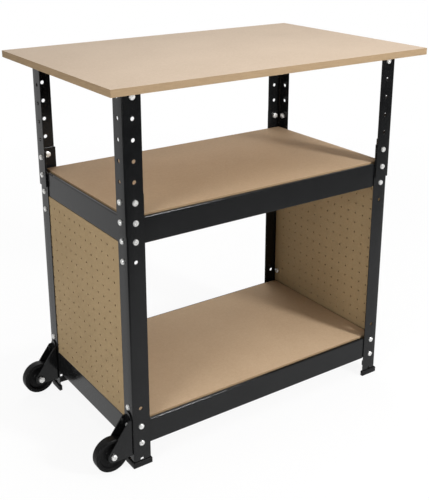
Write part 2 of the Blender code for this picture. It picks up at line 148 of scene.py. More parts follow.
def ray(shade, kind):
    """One where the light path is of a kind: Camera, Glossy or Transmission."""
    return shade.node("ShaderNodeLightPath", output=f"Is {kind} Ray")


def clamped(shade, value):
    """A value held between nought and one."""
    return shade.node("ShaderNodeClamp", None, {"Value": value})


def colours(shade, share, first, second):
    """A colour between two, plain or shaded, by a share."""
    ends = [end if isinstance(end, Shade) else (*end, 1) for end in (first, second)]
    inputs = {0: share, MIX_FIRST: ends[0], MIX_SECOND: ends[1]}
    return shade.node("ShaderNodeMix", {"data_type": "RGBA"}, inputs, MIX_COLOUR)


outlook = room.node("ShaderNodeTexCoord", output="Generated")
wall_glow = clamped(room, reach(room, outlook, TO_BRIGHT_SIDE) * WALL_SLOPE + WALL_MIDDLE)
seen_white = room.math("MAXIMUM", ray(room, "Camera"), ray(room, "Transmission"))
room_light = world.node_tree.nodes["Background"]
room_light.inputs["Color"].default_value = (1, 1, 1, 1)
seen_extra = seen_white * (1 - AMBIENT_STRENGTH)
shine_extra = ray(room, "Glossy") * (wall_glow - AMBIENT_STRENGTH)
room_strength = AMBIENT_STRENGTH + seen_extra + shine_extra
world.node_tree.links.new(room_strength.socket, room_light.inputs["Strength"])

FLOOR_HALF = 40
FLOOR_DROP = 0.0002
FLOOR_GREY = (0.90, 0.90, 0.90, 1)
FLOOR_GLOW = 0.9
WHITE_EDGE = 0.9
WHITE_FADE = 1.6
FLOOR_SHEEN = 0.72
TO_BACK = (0, 1, 0)
FRONT_EDGE = -2.1
FRONT_FADE = 1.4
FROM_CAMERA = (1, 1, 0)
CAMERA_EDGE = -1.8
CAMERA_FADE = 0.9
floor_mesh = bpy.data.meshes.new("floor")
bm = bmesh.new()
bmesh.ops.create_grid(bm, x_segments=1, y_segments=1, size=FLOOR_HALF)
bm.to_mesh(floor_mesh)
bm.free()
floor = bpy.data.objects.new("floor", floor_mesh)
floor.location.z = -FLOOR_DROP
bpy.context.scene.collection.objects.link(floor)
floor_paint = bpy.data.materials.new("floor_paint")
floor_paint.use_nodes = True
floor_tree = floor_paint.node_tree
floor_tree.nodes.remove(floor_tree.nodes["Principled BSDF"])
paint = Shade(floor_tree)
floor_matt = paint.node("ShaderNodeBsdfDiffuse", None, {"Color": FLOOR_GREY})
floor_place = paint.node("ShaderNodeTexCoord", output="Object")
from_middle = paint.node("ShaderNodeVectorMath", {"operation": "LENGTH"}, {0: floor_place}, "Value")
from_front = reach(paint, floor_place, TO_BACK)
from_camera = reach(paint, floor_place, FROM_CAMERA)
white_share = clamped(paint, (from_middle - WHITE_EDGE) * (1 / WHITE_FADE))
front_share = clamped(paint, (from_front - FRONT_EDGE) * (1 / FRONT_FADE))
camera_share = clamped(paint, (from_camera - CAMERA_EDGE) * (1 / CAMERA_FADE))
floor_glow = FLOOR_GLOW + white_share * (1 - FLOOR_GLOW)
floor_sheen = front_share * camera_share * FLOOR_SHEEN
in_gloss = ray(paint, "Glossy")
floor_shine = colours(paint, 1 - in_gloss * (1 - floor_sheen), (0, 0, 0), (1, 1, 1))
floor_white = paint.node("ShaderNodeEmission", None, {"Color": floor_shine, "Strength": 1.0})
in_view = paint.math("MAXIMUM", ray(paint, "Camera"), ray(paint, "Transmission"))
floor_share = in_view * floor_glow + in_gloss
floor_mix = paint.node("ShaderNodeMixShader", None, {0: floor_share, 1: floor_matt, 2: floor_white})
floor_tree.links.new(floor_mix.socket, floor_tree.nodes["Material Output"].inputs["Surface"])
floor_mesh.materials.append(floor_paint)


trolley_middle = (cad_low + cad_high) / 2


def soft_box(name, spot, width, height, power):
    """A rectangular lamp that faces the middle of the trolley."""
    lamp_data = bpy.data.lights.new(name, "AREA")
    lamp_data.shape = "RECTANGLE"
    lamp_data.size = width
    lamp_data.size_y = height
    lamp_data.energy = power
    lamp = bpy.data.objects.new(name, lamp_data)
    lamp.location = spot
    lamp.rotation_euler = (trolley_middle - Vector(spot)).to_track_quat("-Z", "Y").to_euler()
    bpy.context.scene.collection.objects.link(lamp)


soft_box("overhead_box", spot=(0.1, -0.3, 2.8), width=2.2, height=2.2, power=30)
soft_box("key_box", spot=(1.0, -2.4, 1.35), width=0.36, height=0.36, power=61)
soft_box("left_box", spot=(-2.4, -1.0, 0.9), width=1.0, height=1.0, power=27)
soft_box("back_box", spot=(0.9, 1.9, 2.6), width=1.2, height=1.0, power=20)


# Legs: two folded steel angles to a corner, the upper one bolted outside the lower, powder-coated
# black. Each is cut flat with its bolt holes and then folded along its length.
CORNERS = ("front_left", "front_right", "back_left", "back_right")
LEG_SHEET = 0.002
LEG_BEND = 0.0035
HOLE_DIAMETER = 0.0085
HOLE_INSET = 0.019
HOLE_PITCH = 0.0415
BEAM_BOLT_PITCH = 0.040
PANEL_BOLT_PITCH = 0.043
BEND_STEPS = 6
HOLE_STEPS = 24
QUARTER = math.pi / 2
TOUCHING = 1e-6
SHARP_ANGLE = math.radians(32)
BUMP_STRENGTH = 0.5
COAT_PEEL = 420
COAT_CLOUD = 28
COAT_DARK = (0.0045, 0.0047, 0.005)
COAT_LIGHT = (0.0075, 0.0078, 0.0082)
COAT_ROUGHNESS = 0.13
COAT_DULLING = 0.10
COAT_RELIEF = 0.00008


def finish(name, metallic=0.0, specular=0.5):
    """A new Principled finish: the material, its shader and a start for its shading sums."""
    material = bpy.data.materials.new(name)
    material.use_nodes = True
    shader = material.node_tree.nodes["Principled BSDF"]
    shader.inputs["Metallic"].default_value = metallic
    shader.inputs["Specular IOR Level"].default_value = specular
    return material, shader, Shade(material.node_tree)


def noise(shade, scale, detail=2.0, stretch=(1, 1, 1)):
    """A cloud pattern on the piece's own coordinates, about one per 1/scale metres."""
    place = shade.node("ShaderNodeTexCoord", output="Object")
    scaled = shade.node("ShaderNodeMapping", None, {"Vector": place, "Scale": stretch})
    return shade.node("ShaderNodeTexNoise", None, {"Vector": scaled, "Scale": scale, "Detail": detail})


def feed(shader, shade, colour, roughness, height, depth):
    """Links what changes over the surface to the shader: its colour, roughness and relief."""
    relief = {"Height": height, "Distance": depth, "Strength": BUMP_STRENGTH}
    bump = shade.node("ShaderNodeBump", None, relief)
    for value, name in ((colour, "Base Color"), (roughness, "Roughness"), (bump, "Normal")):
        shade.tree.links.new(value.socket, shader.inputs[name])


powder_coat, shader, shade = finish("powder_coat", specular=0.31)
cloud = noise(shade, COAT_CLOUD, detail=3)
coat_colour = colours(shade, cloud, COAT_DARK, COAT_LIGHT)
coat_rough = COAT_ROUGHNESS + cloud * COAT_DULLING
feed(shader, shade, coat_colour, coat_rough, noise(shade, COAT_PEEL), COAT_RELIEF)


def blank(outline, holes, steps=HOLE_STEPS):
    """A flat blank: an outline of (across, along) points with round holes (across, along, radius)."""
    bm = bmesh.new()
    corners = [bm.verts.new((across, along, 0)) for across, along in outline]
    for i in range(len(corners)):
        bm.edges.new((corners[i - 1], corners[i]))
    for across, along, radius in holes:
        spot = Matrix.Translation((across, along, 0))
        bmesh.ops.create_circle(bm, cap_ends=False, segments=steps, radius=radius, matrix=spot)
    bmesh.ops.triangle_fill(bm, edges=bm.edges[:], use_beauty=True, normal=(0, 0, 1))
    bm.normal_update()
    bmesh.ops.reverse_faces(bm, faces=[face for face in bm.faces if face.normal.z < 0])
    return bm


def fold(bm, runs, start=(0, 0), heading=0.0):
    """Folds a blank: runs of (length, turn) from a start and a heading, with the blank's length along Z."""
    steps = []
    for length, turn in runs:
        count = BEND_STEPS if turn else 1
        steps += [(length / count, turn / count)] * count
    crease = 0.0
    for length, turn in steps[:-1]:
        crease += length
        everything = bm.verts[:] + bm.edges[:] + bm.faces[:]
        bmesh.ops.bisect_plane(
            bm, geom=everything, dist=TOUCHING, plane_co=(crease, 0, 0), plane_no=(1, 0, 0)
        )
    for vert in bm.verts:
        left = vert.co.x
        across, up = start
        angle = heading
        for length, turn in steps:
            gone = min(left, length)
            part = turn * gone / length
            if turn:
                radius = length / turn
                across += radius * (math.sin(angle + part) - math.sin(angle))
                up += radius * (math.cos(angle) - math.cos(angle + part))
            else:
                across += gone * math.cos(angle)
                up += gone * math.sin(angle)
            angle += part
            left -= gone
        vert.co = (across, up, vert.co.y)
    bm.normal_update()
    return bm


def thicken(bm, sheet):
    """Gives a folded sheet its thickness; a positive one lies to the right of the run."""
    bmesh.ops.solidify(bm, geom=bm.faces[:], thickness=-sheet)


def piece(name, bm, material, body="frame", stands_for=()):
    """Turns a bmesh into a piece that rides on a body and takes a finish."""
    bmesh.ops.recalc_face_normals(bm, faces=bm.faces[:])
    mesh = bpy.data.meshes.new(name)
    bm.to_mesh(mesh)
    bm.free()
    mesh.materials.append(material)
    mesh.shade_smooth()
    mesh.set_sharp_from_angle(angle=SHARP_ANGLE)
    made = bpy.data.objects.new(name, mesh)
    bpy.context.scene.collection.objects.link(made)
    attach(made, body)
    if stands_for:
        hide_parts(*stands_for)


beam_low, beam_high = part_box("mid_beam_front")
bottom_low, bottom_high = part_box("bottom_beam_front")
bolt_edge = (beam_high.z - beam_low.z - BEAM_BOLT_PITCH) / 2
mid_bolts = (beam_low.z + bolt_edge, beam_high.z - bolt_edge)
bottom_bolts = (bottom_low.z + bolt_edge, bottom_high.z - bolt_edge)
panel_bolts = (bottom_bolts[1] + PANEL_BOLT_PITCH, mid_bolts[0] - PANEL_BOLT_PITCH)
leg_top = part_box("upper_leg_front_left")[1].z
upper_hole_count = int((leg_top - mid_bolts[1] - HOLE_DIAMETER) / HOLE_PITCH) + 1
upper_holes = [mid_bolts[1] + HOLE_PITCH * i for i in range(upper_hole_count)]
lower_holes = [bottom_bolts[0] - BEAM_BOLT_PITCH, *bottom_bolts, *panel_bolts, *mid_bolts, upper_holes[1]]


def corner_of(node, corner):
    """The outer corner of a piece at a corner of the frame, and which way its inside lies."""
    low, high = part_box(node)
    inward = Vector((-1 if "right" in corner else 1, -1 if "back" in corner else 1, 1))
    outer = Vector((low.x if inward.x > 0 else high.x, low.y if inward.y > 0 else high.y, 0))
    return outer, inward, high - low, low.z


bolt_corner = {}
for corner in CORNERS:
    bolt_corner[corner] = corner_of("lower_leg_" + corner, corner)[:2]
    for part, heights in (("lower_leg_", lower_holes), ("upper_leg_", upper_holes)):
        node = part + corner
        outer, inward, size, foot = corner_of(node, corner)
        outset = abs(outer.x - bolt_corner[corner][0].x)
        bend = LEG_BEND * QUARTER
        front_flat = size.x - LEG_BEND
        side_flat = size.y - LEG_BEND
        width = front_flat + bend + side_flat
        inset = HOLE_INSET + outset
        holes = []
        for height in heights:
            holes.append((size.x - inset, height - foot, HOLE_DIAMETER / 2))
            holes.append((front_flat + bend + inset - LEG_BEND, height - foot, HOLE_DIAMETER / 2))
        bm = blank([(0, 0), (width, 0), (width, size.z), (0, size.z)], holes)
        fold(bm, [(front_flat, 0), (bend, -QUARTER), (side_flat, 0)], (size.x, 0), math.pi)
        thicken(bm, LEG_SHEET)
        bmesh.ops.scale(bm, vec=inward, verts=bm.verts)
        bmesh.ops.translate(bm, vec=outer + Vector((0, 0, foot)), verts=bm.verts)
        piece(node + "_angle", bm, powder_coat, stands_for=[node])


# Step beams: folded steel channels that tie the legs together and carry the shelf boards on a ledge.
# The ends are coped so that only the web passes behind the legs, where two bolts hold it.
BEAM_SHEET = 0.0015
BEAM_CAP = 0.008
BEAM_STEP = 0.009
BEAM_RETURN = 0.012
BEAM_BEND = 0.0022
LEDGE_BEND = 0.001
TAB_INSET = 0.0025
COPE_GAP = 0.002
UP = Vector((0, 0, 1))
SIDES = {
    "front": (Vector((0, 1, 0)), Vector((1, 0, 0))),
    "back": (Vector((0, -1, 0)), Vector((1, 0, 0))),
    "left": (Vector((1, 0, 0)), Vector((0, 1, 0))),
    "right": (Vector((-1, 0, 0)), Vector((0, 1, 0))),
}


def seat(bm, across, up, along, origin):
    """Turns a folded piece so that its profile lies on two axes and its length on a third."""
    turn = Matrix((across, up, along)).transposed().to_4x4()
    bmesh.ops.transform(bm, matrix=Matrix.Translation(origin) @ turn, verts=bm.verts)


leg_outer, _, leg_size, _ = corner_of("lower_leg_front_left", "front_left")
bend = BEAM_BEND * QUARTER
ledge_bend = LEDGE_BEND * QUARTER
for tier in ("mid", "bottom"):
    for side, (inwards, along) in SIDES.items():
        node = tier + "_beam_" + side
        low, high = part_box(node)
        size = high - low
        length = size.dot(along)
        depth = abs(size.dot(inwards))
        height = size.z
        end_gap = abs((low - leg_outer).dot(along))
        cope = leg_size.dot(along) - end_gap + COPE_GAP
        runs = [
            (BEAM_RETURN - BEAM_BEND, 0),
            (bend, -QUARTER),
            (height - 2 * BEAM_BEND, 0),
            (bend, -QUARTER),
            (BEAM_CAP - 2 * BEAM_BEND, 0),
            (bend, -QUARTER),
            (BEAM_STEP - BEAM_BEND - LEDGE_BEND, 0),
            (ledge_bend, QUARTER),
            (depth - BEAM_CAP - LEDGE_BEND, 0),
        ]
        width = sum(run for run, turn in runs)
        web_start = BEAM_RETURN - BEAM_BEND + bend - BEAM_BEND
        tab = (web_start + TAB_INSET, web_start + height - TAB_INSET)
        outline = [(0, cope), (tab[0], cope), (tab[0], 0), (tab[1], 0), (tab[1], cope), (width, cope)]
        outline += [(across, length - place) for across, place in reversed(outline)]
        holes = []
        for place in (HOLE_INSET - end_gap, length - HOLE_INSET + end_gap):
            for rise in (bolt_edge, height - bolt_edge):
                holes.append((web_start + rise, place, HOLE_DIAMETER / 2))
        bm = fold(blank(outline, holes), runs, (BEAM_RETURN, 0), math.pi)
        thicken(bm, BEAM_SHEET)
        origin = Vector((high.x if inwards.x < 0 else low.x, high.y if inwards.y < 0 else low.y, low.z))
        seat(bm, inwards, UP, along, origin)
        piece(node + "_channel", bm, powder_coat, stands_for=[node])


# Boards: the top and the two shelves are plain sawn fibreboard, sanded on the faces and left raw.
# The top stands on the legs and overhangs them; the shelves drop onto the beams' ledges.
BOARD_EASING = 0.0007
EASING_STEPS = 2
BOARD_MOTTLE = 7
BOARD_GRAIN = 170
BOARD_FLECK = 650
MOTTLE_SHARE = 0.7
GRAIN_SHARE = 0.8
FLECK_SHARE = 1.5
NOISE_MIDDLE = 0.5
SAW_STREAK = 900
STREAK_SQUEEZE = 0.04
CORE_STREAK = 0.7
CORE_FLECK = 0.4
CORE_DARKENING = 0.05
FACE_TILT = 0.6
EDGE_ROUGHNESS = 0.86
FACE_SANDING = 0.14
FLECK_ROUGHNESS = 0.16
FLECK_RELIEF = 0.6
GRAIN_RELIEF = 0.4
BOARD_RELIEF = 0.00025


def board_finish(name, thin_axis, pale, deep, core_pale, core_deep):
    """Raw pressed fibre: mottled faces, and sawn edges with streaks that follow the faces."""
    material, shader, shade = finish(name, specular=0.1)
    mottle = noise(shade, BOARD_MOTTLE, detail=3)
    grain = noise(shade, BOARD_GRAIN, detail=4)
    fleck = noise(shade, BOARD_FLECK, detail=3)
    face_share = (
        NOISE_MIDDLE
        + (mottle - NOISE_MIDDLE) * MOTTLE_SHARE
        + (fleck - NOISE_MIDDLE) * FLECK_SHARE
        + (grain - NOISE_MIDDLE) * GRAIN_SHARE
    )
    face = colours(shade, face_share, deep, pale)
    stretch = [1.0 if axis == thin_axis else STREAK_SQUEEZE for axis in "XYZ"]
    streak = noise(shade, SAW_STREAK, detail=3, stretch=stretch)
    core_share = streak * CORE_STREAK + fleck * CORE_FLECK - CORE_DARKENING
    core = colours(shade, core_share, core_deep, core_pale)
    normal = shade.node("ShaderNodeTexCoord", output="Normal")
    facing = shade.node("ShaderNodeSeparateXYZ", None, {0: normal}, thin_axis)
    on_face = shade.math("ABSOLUTE", facing, 0) > FACE_TILT
    colour = colours(shade, on_face, core, face)
    rough = EDGE_ROUGHNESS - on_face * FACE_SANDING + (fleck - NOISE_MIDDLE) * FLECK_ROUGHNESS
    feed(shader, shade, colour, rough, fleck * FLECK_RELIEF + grain * GRAIN_RELIEF, BOARD_RELIEF)
    return material


# The top's copy of the fibreboard is paler and greyer than the shelves': painted sheen of its brightly lit
# face.
top_fibreboard = board_finish(
    "top_fibreboard",
    thin_axis="Z",
    pale=(0.575, 0.463, 0.357),
    deep=(0.472, 0.369, 0.277),
    core_pale=(0.35, 0.252, 0.155),
    core_deep=(0.22, 0.152, 0.085),
)
# The shelves' copy is browner: painted warm light bounced between the boards.
shelf_fibreboard = board_finish(
    "shelf_fibreboard",
    thin_axis="Z",
    pale=(0.54, 0.397, 0.263),
    deep=(0.44, 0.312, 0.197),
    core_pale=(0.35, 0.248, 0.15),
    core_deep=(0.22, 0.148, 0.08),
)


def box_board(low, high, easing):
    """A sawn board between two corners with its edges eased."""
    bm = bmesh.new()
    bmesh.ops.create_cube(bm, size=1)
    bmesh.ops.scale(bm, vec=high - low, verts=bm.verts)
    bmesh.ops.translate(bm, vec=(low + high) / 2, verts=bm.verts)
    bmesh.ops.bevel(
        bm,
        geom=bm.edges[:],
        offset=easing,
        affect="EDGES",
        segments=EASING_STEPS,
        profile=0.5,
        material=-1,
    )
    return bm


for node in ("top_board", "mid_shelf_board", "bottom_shelf_board"):
    fibreboard = top_fibreboard if node == "top_board" else shelf_fibreboard
    sawn = box_board(*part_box(node), BOARD_EASING)
    piece(node + "_sawn", sawn, fibreboard, stands_for=[node])


# Side panels: thin tempered hardboard punched with peg holes an inch apart, bolted inside the legs.
# Both faces are smooth and brown; the punched rims are darker.
PEG_PITCH = 0.0254
PEG_DIAMETER = 0.0045
PEG_SIDE_MARGIN = 0.022
PEG_END_MARGIN = 0.015
PEG_STEPS = 12
hardboard = board_finish(
    "hardboard",
    thin_axis="X",
    pale=(0.345, 0.252, 0.141),
    deep=(0.273, 0.194, 0.103),
    core_pale=(0.32, 0.23, 0.13),
    core_deep=(0.18, 0.122, 0.065),
)


def spread(span, margin):
    """Places of holes at the peg pitch, centred on a span."""
    count = int((span - 2 * margin) / PEG_PITCH) + 1
    return [span / 2 + PEG_PITCH * (i - (count - 1) / 2) for i in range(count)]


for side in ("left", "right"):
    node = "pegboard_" + side
    low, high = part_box(node)
    size = high - low
    holes = []
    for across in spread(size.y, PEG_SIDE_MARGIN):
        for along in spread(size.z, PEG_END_MARGIN):
            holes.append((across, along, PEG_DIAMETER / 2))
    inset = leg_outer.y + HOLE_INSET - low.y
    for height in panel_bolts:
        for across in (inset, size.y - inset):
            holes.append((across, height - low.z, HOLE_DIAMETER / 2))
    bm = blank([(0, 0), (size.y, 0), (size.y, size.z), (0, size.z)], holes, PEG_STEPS)
    fold(bm, [(size.y, 0)])
    thicken(bm, size.x)
    seat(bm, Vector((0, 1, 0)), Vector((-1, 0, 0)), UP, low)
    piece(node + "_punched", bm, hardboard, stands_for=[node])


# Foot caps: black moulded sleeves pushed over the ends of the legs.
# Their outer corners are rounded, and the leg stands in an L-shaped pocket.
FOOT_WALL = 0.0025
FOOT_FLOOR = 0.003
FOOT_PLAY = 0.0006
FOOT_ROUNDING = 0.0012
FOOT_STEPS = 3
FOOT_PEBBLE = 900
FOOT_PATCH = 60
FOOT_DARK = (0.006, 0.006, 0.0063)
FOOT_LIGHT = (0.011, 0.011, 0.0114)
FOOT_ROUGHNESS = 0.40
FOOT_DULLING = 0.16
FOOT_RELIEF = 0.0001
moulded, shader, shade = finish("moulded_plastic", specular=0.16)
patch = noise(shade, FOOT_PATCH)
foot_colour = colours(shade, patch, FOOT_DARK, FOOT_LIGHT)
foot_rough = FOOT_ROUGHNESS + patch * FOOT_DULLING
feed(shader, shade, foot_colour, foot_rough, noise(shade, FOOT_PEBBLE), FOOT_RELIEF)


def drawn_verts(geom):
    """The corners among what an operator returned."""
    return [drawn for drawn in geom if isinstance(drawn, bmesh.types.BMVert)]


for corner in CORNERS:
    node = "foot_cap_" + corner
    outer, inward, size, foot = corner_of(node, corner)
    arm = 2 * FOOT_WALL + LEG_SHEET + FOOT_PLAY
    outline = [(0, 0), (size.x, 0), (size.x, arm), (arm, arm), (arm, size.y), (0, size.y)]
    bm = bmesh.new()
    sole = bm.faces.new([bm.verts.new((x, y, 0)) for x, y in outline])
    grown = bmesh.ops.extrude_face_region(bm, geom=[sole])["geom"]
    bmesh.ops.translate(bm, vec=(0, 0, size.z), verts=drawn_verts(grown))
    bmesh.ops.recalc_face_normals(bm, faces=bm.faces)
    rounded = [edge for edge in bm.edges if edge.is_convex]
    bmesh.ops.bevel(
        bm,
        geom=rounded,
        offset=FOOT_ROUNDING,
        affect="EDGES",
        segments=FOOT_STEPS,
        profile=0.5,
        material=-1,
    )
    rim = max(bm.faces, key=lambda face: face.calc_center_median().z + face.calc_area())
    bmesh.ops.inset_region(bm, faces=[rim], thickness=FOOT_WALL - FOOT_ROUNDING)
    pocket = bmesh.ops.extrude_face_region(bm, geom=[rim])["geom"]
    bmesh.ops.translate(bm, vec=(0, 0, FOOT_FLOOR - size.z), verts=drawn_verts(pocket))
    bmesh.ops.delete(bm, geom=[rim], context="FACES_ONLY")
    bmesh.ops.scale(bm, vec=inward, verts=bm.verts)
    bmesh.ops.translate(bm, vec=outer + Vector((0, 0, foot)), verts=bm.verts)
    piece(node + "_moulded", bm, moulded, stands_for=[node])


# Wheel brackets: one folded plate each, bolted to the outside of a left leg. Two cheeks taper out
# from a round-topped back plate to carry the axle, and each is rounded about it.
BRACKET_SHEET = 0.0025
BRACKET_BEND = 0.003
NOSE_RADIUS = 0.013
TIP_REACH = 0.0075
TIP_DROP = 0.013
AXLE_HOLE = 0.0086
ARC_STEPS = 14
DOWNWARDS = 3 * QUARTER
axles = {}
for joint in frame["joints"]:
    axles[joint["child"].replace("_wheel", "")] = Vector(joint["pos_m"])
for end, axle in axles.items():
    node = "wheel_bracket_" + end
    low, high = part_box(node)
    half = (high.y - low.y) / 2
    wall = high.x - axle.x
    crest = high.z - axle.z
    tip = (wall - TIP_REACH, crest - TIP_DROP)
    bend = BRACKET_BEND * QUARTER
    cheek = wall - BRACKET_BEND + NOSE_RADIUS
    plate = 2 * (half - BRACKET_BEND)
    middle = cheek + bend + plate / 2
    tangent = math.atan2(tip[1], tip[0]) + math.acos(NOSE_RADIUS / math.hypot(*tip))
    outline = []
    for i in range(ARC_STEPS + 1):
        angle = DOWNWARDS + (tangent - DOWNWARDS) * i / ARC_STEPS
        outline.append((NOSE_RADIUS * (1 + math.cos(angle)), NOSE_RADIUS * math.sin(angle)))
    outline.append((tip[0] + NOSE_RADIUS, tip[1]))
    crown = half - BRACKET_SHEET
    for i in range(ARC_STEPS // 2 + 1):
        angle = math.pi - QUARTER * i / (ARC_STEPS // 2)
        outline.append((middle + crown * math.cos(angle), crest - crown + crown * math.sin(angle)))
    outline += [(2 * middle - across, along) for across, along in reversed(outline[:-1])]
    holes = [(NOSE_RADIUS, 0, AXLE_HOLE / 2), (2 * middle - NOSE_RADIUS, 0, AXLE_HOLE / 2)]
    side = 1 if axle.y < 0 else -1
    leg_face = bolt_corner["front_left" if side > 0 else "back_left"][0].y
    bolt_across = middle + leg_face + side * HOLE_INSET - axle.y
    for height in bottom_bolts:
        holes.append((bolt_across, height - axle.z, HOLE_DIAMETER / 2))
    runs = [(cheek, 0), (bend, QUARTER), (plate, 0), (bend, QUARTER), (cheek, 0)]
    bm = fold(blank(outline, holes), runs, (-NOSE_RADIUS, -half))
    thicken(bm, -BRACKET_SHEET)
    bmesh.ops.translate(bm, vec=axle, verts=bm.verts)
    piece(node + "_folded", bm, powder_coat, stands_for=[node])


# Wheels: black moulded plastic in one piece, with a rounded tread, a raised rim, a dished web and a
# hub that turns on a sleeve between the cheeks.
WHEEL_STEPS = 96
RIM_HALF = 0.0105
RIM_WIDTH = 0.0085
RING_WIDTH = 0.0024
RING_STEP = 0.0010
WEB_HALF = 0.0035
HUB_RADIUS = 0.0125
BORE_RADIUS = 0.0066
HUB_EASING = 0.0008
COVE = 0.0015
TREAD_ROUND = 0.0025
TREAD_STEPS = 8
WHEEL_PEBBLE = 1100
WHEEL_SCUFF = 45
WHEEL_DARK = (0.004, 0.004, 0.0042)
WHEEL_LIGHT = (0.009, 0.009, 0.0093)
WHEEL_ROUGHNESS = 0.28
WHEEL_DULLING = 0.2
WHEEL_RELIEF = 0.00008
wheel_plastic, shader, shade = finish("wheel_plastic", specular=0.11)
scuff = noise(shade, WHEEL_SCUFF, detail=4)
wheel_colour = colours(shade, scuff, WHEEL_DARK, WHEEL_LIGHT)
wheel_rough = WHEEL_ROUGHNESS + scuff * WHEEL_DULLING
feed(shader, shade, wheel_colour, wheel_rough, noise(shade, WHEEL_PEBBLE), WHEEL_RELIEF)


def turned(profile, steps, axis):
    """Turns a profile of (radius, along) points all the way round an axis through the origin."""
    bm = bmesh.new()
    across = Vector((1, 0, 0))
    verts = [bm.verts.new(across * radius + axis * along) for radius, along in profile]
    edges = [bm.edges.new(pair) for pair in zip(verts, verts[1:])]
    bmesh.ops.spin(
        bm,
        geom=verts + edges,
        axis=axis,
        cent=(0, 0, 0),
        angle=2 * math.pi,
        steps=steps,
        use_merge=True,
    )
    return bm


for end, axle in axles.items():
    node = "wheel_" + end
    low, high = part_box(node)
    radius = axle.x - low.x
    hub_half = (high.y - low.y) / 2
    rim_foot = radius - RIM_WIDTH
    ring_foot = radius - TREAD_ROUND - RING_WIDTH
    low_ring = RIM_HALF - RING_STEP
    half_section = [
        (BORE_RADIUS, hub_half - HUB_EASING),
        (BORE_RADIUS + HUB_EASING, hub_half),
        (HUB_RADIUS - HUB_EASING, hub_half),
        (HUB_RADIUS, hub_half - HUB_EASING),
        (HUB_RADIUS + HUB_EASING, WEB_HALF + COVE),
        (HUB_RADIUS + HUB_EASING + COVE, WEB_HALF),
        (rim_foot - 2 * COVE, WEB_HALF),
        (rim_foot - COVE, WEB_HALF + COVE),
        (rim_foot, low_ring - HUB_EASING),
        (rim_foot + HUB_EASING, low_ring),
        (ring_foot - RING_STEP / 2, low_ring),
        (ring_foot, RIM_HALF),
    ]
    for i in range(TREAD_STEPS + 1):
        angle = QUARTER * (1 - i / TREAD_STEPS)
        tread_radius = radius - TREAD_ROUND + TREAD_ROUND * math.cos(angle)
        tread_half = RIM_HALF - TREAD_ROUND + TREAD_ROUND * math.sin(angle)
        half_section.append((tread_radius, tread_half))
    section = half_section + [(out, -along) for out, along in reversed(half_section)]
    section.append(section[0])
    bm = turned(section, WHEEL_STEPS, Vector((0, 1, 0)))
    bmesh.ops.remove_doubles(bm, verts=bm.verts, dist=TOUCHING)
    bmesh.ops.translate(bm, vec=axle, verts=bm.verts)
    piece(node + "_moulded", bm, wheel_plastic, end + "_wheel", [node])


# Bolts: zinc-plated, with low domed heads that have a cross recess, and plain hexagon nuts inside.
# They hold the legs, beams and panels together at every corner.
BOLT_RADIUS = 0.004
HEAD_RADIUS = 0.0062
HEAD_HEIGHT = 0.0036
NUT_FLATS = 0.013
NUT_HEIGHT = 0.0052
NUT_EASING = 0.0007
BOLT_TAIL = 0.0014
NUT_SIDES = 6
TAIL_TAPER = 0.85
SHANK_STEPS = 20
HEAD_STEPS = 32
HEAD_DOME = [(1.0, 0.0), (1.0, 0.35), (0.93, 0.72), (0.72, 1.0)]
CROSS_REACH = 0.46
CROSS_HALF = 0.11
CROSS_DEPTH = 0.5
CROSS_TAPER = 0.6
ZINC_BLOOM = 260
ZINC_BRUSHING = 1500
ZINC_DARK = (0.78, 0.78, 0.77)
ZINC_LIGHT = (0.92, 0.92, 0.9)
ZINC_ROUGHNESS = 0.24
ZINC_DULLING = 0.2
ZINC_RELIEF = 0.00005
zinc, shader, shade = finish("zinc_plate", metallic=0.75)
bloom = noise(shade, ZINC_BLOOM, detail=3)
zinc_colour = colours(shade, bloom, ZINC_DARK, ZINC_LIGHT)
zinc_rough = ZINC_ROUGHNESS + bloom * ZINC_DULLING
feed(shader, shade, zinc_colour, zinc_rough, noise(shade, ZINC_BRUSHING), ZINC_RELIEF)


def recessed_head(radius, height):
    """A domed head that stands on the plane Z 0 and looks along +Z, with a cross recess in its top."""
    dome = [(radius * across, height * up) for across, up in HEAD_DOME]
    bm = turned(dome, HEAD_STEPS, UP)
    rim = [edge for edge in bm.edges if edge.is_boundary and edge.verts[0].co.z > height / 2]
    tip = radius * CROSS_REACH
    waist = radius * CROSS_HALF
    cross = []
    for arm in range(4):
        turn = Matrix.Rotation(arm * QUARTER, 4, "Z")
        for spot in ((tip, -waist), (tip, waist), (waist, waist)):
            cross.append(bm.verts.new(turn @ Vector((*spot, height))))
    recess = [bm.edges.new((cross[i - 1], cross[i])) for i in range(len(cross))]
    bmesh.ops.triangle_fill(bm, edges=rim + recess, use_beauty=True, normal=(0, 0, 1))
    sunk = bmesh.ops.extrude_edge_only(bm, edges=recess)["geom"]
    floor_verts = drawn_verts(sunk)
    bmesh.ops.translate(bm, vec=(0, 0, -height * CROSS_DEPTH), verts=floor_verts)
    bmesh.ops.scale(bm, vec=(CROSS_TAPER, CROSS_TAPER, 1), verts=floor_verts)
    drawn_edges = [drawn for drawn in sunk if isinstance(drawn, bmesh.types.BMEdge)]
    bmesh.ops.contextual_create(bm, geom=[edge for edge in drawn_edges if edge.is_boundary])
    return bm


def face_along(bm, spot, direction):
    """Moves a piece made on the plane Z 0 to a spot, looking along a direction."""
    turn = direction.to_track_quat("Z", "Y").to_matrix().to_4x4()
    bmesh.ops.transform(bm, matrix=Matrix.Translation(spot) @ turn, verts=bm.verts)
    return bm


